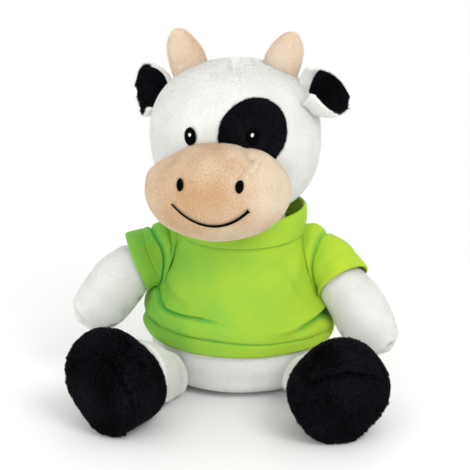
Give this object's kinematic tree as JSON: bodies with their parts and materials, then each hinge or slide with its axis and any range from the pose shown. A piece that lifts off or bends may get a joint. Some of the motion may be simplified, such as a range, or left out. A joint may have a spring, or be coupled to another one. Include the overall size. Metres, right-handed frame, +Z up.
{
  "type": "plush cow",
  "caption": "Small stuffed cow that sits by itself, in a short-sleeved knit shirt, with curled ears, padded horns, a stitched face and a head, arms, legs, ears and tail that move.",
  "frame": {"origin": "middle of the flat seat that the toy rests on", "axes": "+Z up through the neck, -Y the way the chest faces, +X the toy's own left"},
  "size_m": [0.1838, 0.1733, 0.2002],
  "materials": {
    "white_plush": "short soft pile with a faint sheen",
    "black_plush": "longer tousled pile",
    "peach_velour": "very short brushed pile",
    "lime_knit": "fine smooth jersey",
    "black_thread": "satin stitch with a soft shine",
    "white_thread": "satin stitch with a soft shine",
    "stuffing": "loose polyester fibre"
  },
  "bodies": {
    "torso": {"torso_skin": "white_plush", "torso_stuffing": "stuffing", "shirt_front": "lime_knit", "shirt_back": "lime_knit", "shirt_collar": "lime_knit", "sleeve_right": "lime_knit", "sleeve_left": "lime_knit"},
    "head": {"head_skin": "white_plush", "head_stuffing": "stuffing", "muzzle_skin": "peach_velour", "muzzle_stuffing": "stuffing", "eye_patch": "black_plush", "eye_right": "black_thread", "eye_left": "black_thread", "eye_glint_right": "white_thread", "eye_glint_left": "white_thread", "nostril_right": "black_thread", "nostril_left": "black_thread", "smile": "black_thread", "horn_right_skin": "peach_velour", "horn_right_stuffing": "stuffing", "horn_left_skin": "peach_velour", "horn_left_stuffing": "stuffing"},
    "ear_right": {"ear_right_lining": "black_plush", "ear_right_shell": "white_plush"},
    "ear_left": {"ear_left_lining": "black_plush", "ear_left_shell": "white_plush"},
    "arm_right": {"arm_right_skin": "white_plush", "arm_right_stuffing": "stuffing"},
    "arm_left": {"arm_left_skin": "white_plush", "arm_left_stuffing": "stuffing"},
    "leg_right": {"leg_right_skin": "white_plush", "leg_right_stuffing": "stuffing", "boot_right": "black_plush", "sole_right": "black_plush"},
    "leg_left": {"leg_left_skin": "white_plush", "leg_left_stuffing": "stuffing", "boot_left": "black_plush", "sole_left": "black_plush"},
    "tail": {"tail_strip": "white_plush", "tail_tuft": "black_plush"}
  },
  "joints": [
    {"name": "head_turn", "type": "hinge", "parent": "torso", "child": "head", "pos_m": [0, 0, 0.1], "axis": [0, 0, 1], "range_deg": [-20, 20], "stiffness_Nm_per_rad": 0.06},
    {"name": "ear_right_flop", "type": "hinge", "parent": "head", "child": "ear_right", "pos_m": [-0.04395, 0.01027, 0.16699], "axis": [-0.2411, 0.2422, 0.9398], "range_deg": [-15, 15], "stiffness_Nm_per_rad": 0.002},
    {"name": "ear_left_flop", "type": "hinge", "parent": "head", "child": "ear_left", "pos_m": [0.03504, -0.00467, 0.1708], "axis": [0.1662, 0.5344, 0.8287], "range_deg": [-15, 15], "stiffness_Nm_per_rad": 0.002},
    {"name": "arm_right_swing", "type": "hinge", "parent": "torso", "child": "arm_right", "pos_m": [-0.04, -0.002, 0.073], "axis": [1, 0, 0], "range_deg": [-30, 30], "stiffness_Nm_per_rad": 0.02, "deforming": ["sleeve_right"]},
    {"name": "arm_left_swing", "type": "hinge", "parent": "torso", "child": "arm_left", "pos_m": [0.04, -0.002, 0.073], "axis": [1, 0, 0], "range_deg": [-30, 30], "stiffness_Nm_per_rad": 0.02, "deforming": ["sleeve_left"]},
    {"name": "leg_right_swing", "type": "hinge", "parent": "torso", "child": "leg_right", "pos_m": [-0.037, -0.033, 0.0135], "axis": [1, 0, 0], "range_deg": [-15, 30], "stiffness_Nm_per_rad": 0.05},
    {"name": "leg_left_swing", "type": "hinge", "parent": "torso", "child": "leg_left", "pos_m": [0.037, -0.033, 0.0135], "axis": [1, 0, 0], "range_deg": [-15, 30], "stiffness_Nm_per_rad": 0.05},
    {"name": "tail_swing", "type": "hinge", "parent": "torso", "child": "tail", "pos_m": [0, 0.045, 0.015], "axis": [0, 0, 1], "range_deg": [-30, 30], "stiffness_Nm_per_rad": 0.002}
  ]
}
